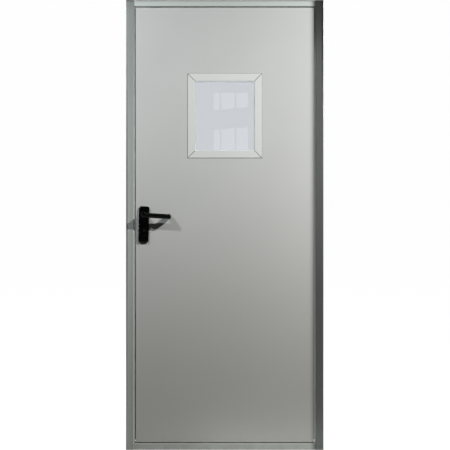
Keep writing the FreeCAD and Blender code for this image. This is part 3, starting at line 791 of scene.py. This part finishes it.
pins_low, pins_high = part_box("hinge_pins")
pin_x, pin_y = (pins_low.x + pins_high.x) / 2, (pins_low.y + pins_high.y) / 2
frame_back_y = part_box("jamb_hinge_side")[1].y
pin_cap_radius = 8.5 * MM
pin_cap_height = 2.4 * MM
pin_cap_edge = 1.6 * MM
foot_half = 7.0 * MM
weld_radius = 1.6 * MM
weld_step = 2.4 * MM
weld_end = 3.0 * MM
weld_below_knuckle = 5.0 * MM
weld_above_knuckle = 8.0 * MM
weld_y = frame_back_y + 0.3 * MM
weld_side = foot_half + 0.3 * MM
lip_weld_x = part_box("leaf_pull_sheet")[1].x + 0.4 * MM
lip_weld_y = pull_face_y - 0.2 * MM
lip_weld_end = 4.0 * MM
welds = bmesh.new()
leaf_welds = bmesh.new()
pin_caps = bmesh.new()
for hinge in ("lower", "upper"):
    frame_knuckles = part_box(hinge + "_hinge_frame")
    leaf_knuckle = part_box(hinge + "_hinge_leaf")
    spans = (
        (frame_knuckles[0].z + weld_end, leaf_knuckle[0].z - weld_below_knuckle),
        (leaf_knuckle[1].z + weld_above_knuckle, frame_knuckles[1].z - weld_end),
    )
    for z0, z1 in spans:
        for side in (-1, 1):
            x = pin_x + side * weld_side
            add_weld(welds, (x, weld_y, z0), (x, weld_y, z1))
    z0, z1 = leaf_knuckle[0].z + lip_weld_end, leaf_knuckle[1].z - lip_weld_end
    add_weld(leaf_welds, (lip_weld_x, lip_weld_y, z0), (lip_weld_x, lip_weld_y, z1))
    for z, direction in ((frame_knuckles[0].z, -1), (frame_knuckles[1].z, 1)):
        cap = add_disc(pin_caps, (pin_x, pin_y, z), (0, 0, direction), pin_cap_radius, pin_cap_height)
        bevel_edges(pin_caps, list(cap.edges), pin_cap_edge, 4)
finish_mesh("hinge_frame_welds", welds, hinge_paint, "frame")
finish_mesh("hinge_leaf_welds", leaf_welds, hinge_paint, "leaf")
finish_mesh("hinge_pin_caps", pin_caps, zinc_steel, "frame")


# Studio floor: wide and dark, but the camera, glass and metal see it as white.
# The door leaves only a faint shadow on it.
def seen_directly(tree):
    """1 for rays from the camera, mirrors and glass, else 0."""
    path = add_node(tree, "ShaderNodeLightPath")
    either = maths(tree, "MAXIMUM", path.outputs["Is Camera Ray"], path.outputs["Is Glossy Ray"])
    return maths(tree, "MAXIMUM", either, path.outputs["Is Transmission Ray"])


def add_card(name, corner_sets, material, hidden_from=()):
    """Flat studio cards that aren't part of the door, hidden from some kinds of ray."""
    card = bmesh.new()
    for corners in corner_sets:
        card.faces.new([card.verts.new(corner) for corner in corners])
    mesh = bpy.data.meshes.new(name)
    card.to_mesh(mesh)
    card.free()
    mesh.materials.append(material)
    piece = bpy.data.objects.new(name, mesh)
    bpy.context.scene.collection.objects.link(piece)
    for ray in hidden_from:
        setattr(piece, "visible_" + ray, False)


def upright_card(x0, x1, y, z0, z1):
    return ((x0, y, z0), (x1, y, z0), (x1, y, z1), (x0, y, z1))


floor_reach = 14.0
seen_white = 0.99
floor_material, floor_tree, floor_shader = new_material("studio_floor")
floor_shader.inputs["Base Color"].default_value = (0.07, 0.07, 0.07, 1)
floor_shader.inputs["Roughness"].default_value = 1.0
floor_shader.inputs["Specular IOR Level"].default_value = 0.0
floor_shader.inputs["Emission Color"].default_value = (1, 1, 1, 1)
floor_glow = maths(floor_tree, "MULTIPLY", seen_directly(floor_tree), seen_white)
floor_tree.links.new(floor_glow, floor_shader.inputs["Emission Strength"])
floor_corners = [(sx * floor_reach, sy * floor_reach, 0) for sx, sy in ((-1, -1), (1, -1), (1, 1), (-1, 1))]
add_card("studio_floor", [floor_corners], floor_material)

# Studio walls: white where they are looked at, mirrored or seen through the glass.
# Otherwise they give a faint even light.
world = bpy.data.worlds.new("studio")
world.use_nodes = True
bpy.context.scene.world = world
background = world.node_tree.nodes["Background"]
background.inputs["Color"].default_value = (1, 1, 1, 1)
faint_light = 0.003
wall_strength = spread(world.node_tree, seen_directly(world.node_tree), 0.0, 1.0, faint_light, seen_white)
world.node_tree.links.new(wall_strength, background.inputs["Strength"])

# Dark wall behind the camera, with daylight windows in it that only the pane mirrors.
# Neither lights the door.
dark_wall_y = -5.5
dark_wall_reach = 9.0
dark_wall_height = 7.0
dark_material, _, dark_shader = new_material("dark_wall")
dark_shader.inputs["Base Color"].default_value = (0.004, 0.004, 0.004, 1)
dark_shader.inputs["Roughness"].default_value = 1.0
dark_shader.inputs["Specular IOR Level"].default_value = 0.0
add_card(
    "dark_wall",
    [upright_card(-dark_wall_reach, dark_wall_reach, dark_wall_y, 0, dark_wall_height)],
    dark_material,
    ("camera", "diffuse", "shadow", "transmission"),
)

window_wall_y = dark_wall_y + 0.05
mirror_y = pane_low.y
eye = camera.location
mirror_scale = (mirror_y - eye.y + mirror_y - window_wall_y) / (mirror_y - eye.y)


def behind_camera(x, z):
    """Where a thing stands whose mirror image shows at (x, z) on the pane."""
    return (eye.x + (x - eye.x) * mirror_scale, window_wall_y, eye.z + (z - eye.z) * mirror_scale)


daylight_material, _, daylight_shader = new_material("daylight")
daylight_shader.inputs["Base Color"].default_value = (0, 0, 0, 1)
daylight_shader.inputs["Emission Color"].default_value = (0.9, 0.97, 1.0, 1)
daylight_shader.inputs["Emission Strength"].default_value = 1.55
first_light_x = -0.051
light_columns = ((first_light_x, -0.0235), (-0.0165, 0.0455), (0.0525, 0.106))
upper_lights = (1.548, 1.628, 0.102, 0.0)
lower_lights = (1.366, 1.4575, 0.0, 0.102)
mirrored_lights = []
for x0, x1 in light_columns:
    for z0, z1, low_slope, high_slope in (upper_lights, lower_lights):
        lower = [behind_camera(x, z0 + (x - first_light_x) * low_slope) for x in (x0, x1)]
        upper = [behind_camera(x, z1 + (x - first_light_x) * high_slope) for x in (x1, x0)]
        mirrored_lights.append(lower + upper)
add_card(
    "daylight_windows", mirrored_lights, daylight_material, ("camera", "diffuse", "shadow", "transmission")
)

# Wall scrim: stands for the edges of the wall opening, which keep some of the light off the
# jambs, the head's top edge and a narrow band of the leaf at the hinge side.
scrim_y = push_face_y - 2.4 * MM
scrim_reach = 0.47
scrim_top = 2.075
outer_left, outer_right = -0.4437, 0.445
inner_left, inner_right, inner_top = -0.412, 0.384, 2.04


def shade_ramp(tree, source, low, high, stops):
    """How much light passes, from (place, share) stops along one direction."""
    ramp = add_node(tree, "ShaderNodeValToRGB")
    tree.links.new(spread(tree, source, low, high, 0.0, 1.0), ramp.inputs["Fac"])
    steps = ramp.color_ramp.elements
    while len(steps) < len(stops):
        steps.new(0.5)
    for step, (place, share) in zip(steps, stops):
        step.position = (place - low) / (high - low)
        step.color = (share, share, share, 1)
    return ramp.outputs["Color"]


scrim_material = bpy.data.materials.new("wall_scrim")
scrim_material.use_nodes = True
scrim_tree = scrim_material.node_tree
scrim_tree.nodes.clear()
scrim_place = add_node(scrim_tree, "ShaderNodeSeparateXYZ")
scrim_coordinates = add_node(scrim_tree, "ShaderNodeTexCoord")
scrim_tree.links.new(scrim_coordinates.outputs["Object"], scrim_place.inputs["Vector"])
scrim_x, scrim_z = scrim_place.outputs["X"], scrim_place.outputs["Z"]
jamb_stops = (
    (-scrim_reach, 1.0),
    (-0.4142, 1.0),
    (-0.4125, 0.0),
    (0.387, 0.0),
    (0.3972, 0.235),
    (0.4064, 0.65),
    (0.4102, 0.86),
    (0.4152, 1.0),
)
left_stops = ((0.0, 1.0), (0.82, 0.9), (1.5, 0.73), (1.9, 0.6), (2.0, 0.572), (2.045, 0.475))
right_stops = (
    (0.1, 0.154),
    (0.4, 0.125),
    (0.64, 0.124),
    (1.28, 0.179),
    (1.73, 0.171),
    (1.8, 0.155),
    (1.95, 0.072),
    (2.045, 0.053),
)
slant_stops = ((-0.4465, 1.0), (-0.4214, 0.81), (-0.412, 0.84), (0.4, 1.0))
left_edge_stops = ((0.9, 0.0), (1.23, 0.15), (1.5, 0.42), (1.777, 0.7), (1.9, 0.85))
right_edge_stops = ((1.4, 1.0), (1.6, 0.8), (1.777, 0.35), (1.85, 0.12), (1.93, 0.03), (2.0, 0.0))
head_from = 1.8
head_stops = ((head_from, 1.0), (2.0425, 1.0), (2.0455, 0.85), (2.0475, 0.6), (2.0485, 0.02))
jamb_share = shade_ramp(scrim_tree, scrim_x, -scrim_reach, scrim_reach, jamb_stops)
left_jamb = shade_ramp(scrim_tree, scrim_z, 0.0, scrim_top, left_stops)
right_jamb = shade_ramp(scrim_tree, scrim_z, 0.0, scrim_top, right_stops)
slant = shade_ramp(scrim_tree, scrim_x, -scrim_reach, scrim_reach, slant_stops)
left_jamb = blend_colours(scrim_tree, 1.0, left_jamb, slant, "MULTIPLY")
left_edge = shade_ramp(scrim_tree, scrim_z, 0.0, scrim_top, left_edge_stops)
right_edge = shade_ramp(scrim_tree, scrim_z, 0.0, scrim_top, right_edge_stops)
on_right = maths(scrim_tree, "GREATER_THAN", scrim_x, 0.0)
on_left_edge = maths(scrim_tree, "LESS_THAN", scrim_x, outer_left)
on_right_edge = maths(scrim_tree, "GREATER_THAN", scrim_x, outer_right)
on_edge = maths(scrim_tree, "ADD", on_left_edge, on_right_edge)
jamb_light = blend_colours(scrim_tree, on_right, left_jamb, right_jamb)
edge_light = blend_colours(scrim_tree, on_right, left_edge, right_edge)
edge_light = blend_colours(scrim_tree, on_edge, (1, 1, 1, 1), edge_light)
jamb_light = blend_colours(scrim_tree, 1.0, jamb_light, edge_light, "MULTIPLY")
across = blend_colours(scrim_tree, jamb_share, (1, 1, 1, 1), jamb_light)
upward = shade_ramp(scrim_tree, scrim_z, head_from, scrim_top, head_stops)
passed = blend_colours(scrim_tree, 1.0, across, upward, "MULTIPLY")
scrim_shader = add_node(scrim_tree, "ShaderNodeBsdfTransparent")
scrim_tree.links.new(passed, scrim_shader.inputs["Color"])
scrim_output = add_node(scrim_tree, "ShaderNodeOutputMaterial")
scrim_tree.links.new(scrim_shader.outputs["BSDF"], scrim_output.inputs["Surface"])
add_card(
    "wall_scrim",
    [
        upright_card(-scrim_reach, inner_left, scrim_y, 0, scrim_top),
        upright_card(inner_right, scrim_reach, scrim_y, 0, scrim_top),
        upright_card(inner_left, inner_right, scrim_y, inner_top, scrim_top),
    ],
    scrim_material,
    ("camera", "diffuse", "glossy", "transmission"),
)


# Lamps: a key lamp high at the right with a narrow cone inside its wide one, a second lamp
# high at the left, two low strips on the floor before the door and three lamps behind it.
def add_lamp(name, kind, place, aim, power, size, tint=(1, 1, 1)):
    data = bpy.data.lights.new(name, kind)
    data.energy = power
    data.color = tint
    if kind == "AREA":
        data.shape = "RECTANGLE"
        data.size, data.size_y = size
    else:
        data.shadow_soft_size = size
    lamp = bpy.data.objects.new(name, data)
    lamp.location = place
    lamp.rotation_euler = (Vector(aim) - Vector(place)).to_track_quat("-Z", "Y").to_euler()
    bpy.context.scene.collection.objects.link(lamp)
    return lamp


def add_spot(name, place, aim, power, size, cone, tint=(1, 1, 1)):
    lamp = add_lamp(name, "SPOT", place, aim, power, size, tint)
    lamp.data.spot_size = cone
    lamp.data.spot_blend = 1.0
    return lamp


key_place = (3.477, -3.064, 3.992)
left_place = (-3.169, -3.626, 4.571)
key_power = 1051
key_cone_power = 1319
left_power = 2890
floor_fill_power = 0.1035
floor_left_power = 0.018
strip_lamp_y = -0.17
strip_lamp_z = 0.02
strip_lamp_depth = 0.03
strip_aim_z = 0.05
key_tint = (1.0, 0.979, 0.939)
cone_tint = (0.945, 0.964, 1.0)
left_tint = (0.93, 0.9625, 1.0)
floor_tint = (0.939, 1.0, 0.993)
add_spot("key_lamp", key_place, (1.429, push_face_y, 0.0), key_power, 0.035, 1.27, key_tint)
add_spot("key_lamp_cone", key_place, (1.2, push_face_y, 2.047), key_cone_power, 0.035, 0.566, cone_tint)
add_spot("left_lamp", left_place, (-2.143, push_face_y, 2.811), left_power, 0.05, 0.948, left_tint)
fills = []
for name, x, power, length, tint in (
    ("floor_fill", 0.25, floor_fill_power, 0.7, floor_tint),
    ("floor_left", -0.27, floor_left_power, 0.4, (1, 1, 1)),
):
    place, aim = (x, strip_lamp_y, strip_lamp_z), (x, push_face_y, strip_aim_z)
    fills.append(add_lamp(name, "AREA", place, aim, power, (length, strip_lamp_depth), tint))
for lamp in fills:
    lamp.visible_camera = False
    lamp.visible_glossy = False
    lamp.visible_transmission = False
rear_lamp_size = (1.2, 1.2)
add_lamp("rear_left_lamp", "AREA", (2.2, 2.8, 2.4), (0, 0, 1.0), 95, rear_lamp_size)
add_lamp("rear_right_lamp", "AREA", (-2.4, 2.6, 2.2), (0, 0, 1.0), 60, rear_lamp_size)
rear_low_lamp = add_lamp("rear_low_lamp", "AREA", (0, 0.9, 0.35), (0, 0, 1.6), 4, (0.6, 0.3))
rear_low_lamp.visible_glossy = False
